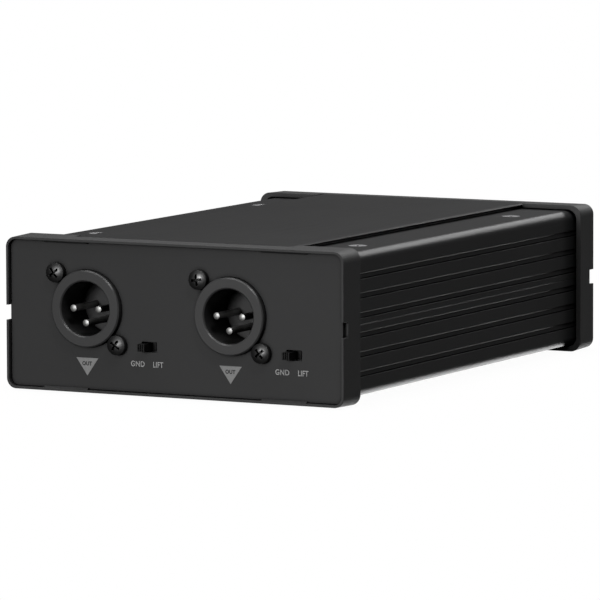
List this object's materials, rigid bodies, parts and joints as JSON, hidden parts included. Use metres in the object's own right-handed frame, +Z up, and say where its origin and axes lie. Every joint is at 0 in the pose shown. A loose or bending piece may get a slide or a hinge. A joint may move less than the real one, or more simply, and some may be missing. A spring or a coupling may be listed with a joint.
{
  "type": "direct injection box",
  "caption": "Stereo passive DI box in a grooved black extruded housing with end bumpers, XLR outputs, ground lift slide switches and phone jack inputs.",
  "frame": {"origin": "bottom centre of the bounding box, on the surface the box stands on", "axes": "+X to the right as seen from the output panel, +Y from the output panel to the input panel, +Z up"},
  "size_m": [0.1186, 0.1824, 0.048],
  "materials": {
    "anodised": "black anodised, fine satin",
    "panel_black": "black anodised, fine bead blast",
    "bumper_plastic": "fine spark texture",
    "connector_shell": "satin",
    "insert_black": "satin",
    "pin_silver": "silver plated",
    "black_screw": "black oxide",
    "screw_steel": "zinc plated",
    "nut_steel": "nickel plated",
    "bushing_nickel": "nickel plated",
    "post_brass": "turned",
    "switch_cover": "tinned",
    "switch_base": "phenolic",
    "knob_black": "moulded",
    "terminal_tin": "tinned",
    "jack_body": "moulded",
    "contact_brass": "stamped",
    "core_steel": "laminated",
    "bobbin_nylon": "moulded",
    "coil_copper": "enamelled winding under varnish",
    "board": "solder mask",
    "resistor_body": "lacquered",
    "capacitor_body": "epoxy dipped"
  },
  "bodies": {
    "case": {"shell_upper": "anodised", "shell_lower": "anodised", "front_bumper": "bumper_plastic", "rear_bumper": "bumper_plastic", "front_panel": "panel_black", "rear_panel": "panel_black", "case_screws_top": "screw_steel", "case_screws_bottom": "screw_steel", "upper_posts": "post_brass", "lower_posts": "post_brass", "xlr_shell_left": "connector_shell", "xlr_shell_right": "connector_shell", "xlr_insert_left": "insert_black", "xlr_insert_right": "insert_black", "xlr_pins_left": "pin_silver", "xlr_pins_right": "pin_silver", "xlr_screws": "black_screw", "lift_cover_left": "switch_cover", "lift_cover_right": "switch_cover", "lift_base_left": "switch_base", "lift_base_right": "switch_base", "lift_terminals_left": "terminal_tin", "lift_terminals_right": "terminal_tin", "pad_cover_left": "switch_cover", "pad_cover_right": "switch_cover", "pad_base_left": "switch_base", "pad_base_right": "switch_base", "pad_terminals_left": "terminal_tin", "pad_terminals_right": "terminal_tin", "input_jack_left": "jack_body", "input_jack_right": "jack_body", "thru_jack_left": "jack_body", "thru_jack_right": "jack_body", "input_bushing_left": "bushing_nickel", "input_bushing_right": "bushing_nickel", "thru_bushing_left": "bushing_nickel", "thru_bushing_right": "bushing_nickel", "input_contacts_left": "contact_brass", "input_contacts_right": "contact_brass", "thru_contacts_left": "contact_brass", "thru_contacts_right": "contact_brass", "jack_nuts": "nut_steel", "jack_washers": "nut_steel", "main_board": "board", "transformer_core_left": "core_steel", "transformer_core_right": "core_steel", "transformer_bobbin_left": "bobbin_nylon", "transformer_bobbin_right": "bobbin_nylon", "transformer_coil_left": "coil_copper", "transformer_coil_right": "coil_copper", "transformer_pins_left": "terminal_tin", "transformer_pins_right": "terminal_tin", "resistors": "resistor_body", "capacitors": "capacitor_body"},
    "lift_knob_left": {"lift_knob_left": "knob_black"},
    "lift_knob_right": {"lift_knob_right": "knob_black"},
    "pad_knob_left": {"pad_knob_left": "knob_black"},
    "pad_knob_right": {"pad_knob_right": "knob_black"}
  },
  "joints": [
    {"name": "lift_slide_left", "type": "slide", "parent": "case", "child": "lift_knob_left", "axis": [1, 0, 0], "range_m": [0, 0.0026]},
    {"name": "lift_slide_right", "type": "slide", "parent": "case", "child": "lift_knob_right", "axis": [1, 0, 0], "range_m": [0, 0.0026]},
    {"name": "pad_slide_left", "type": "slide", "parent": "case", "child": "pad_knob_left", "axis": [-1, 0, 0], "range_m": [0, 0.0026]},
    {"name": "pad_slide_right", "type": "slide", "parent": "case", "child": "pad_knob_right", "axis": [-1, 0, 0], "range_m": [0, 0.0026]}
  ]
}
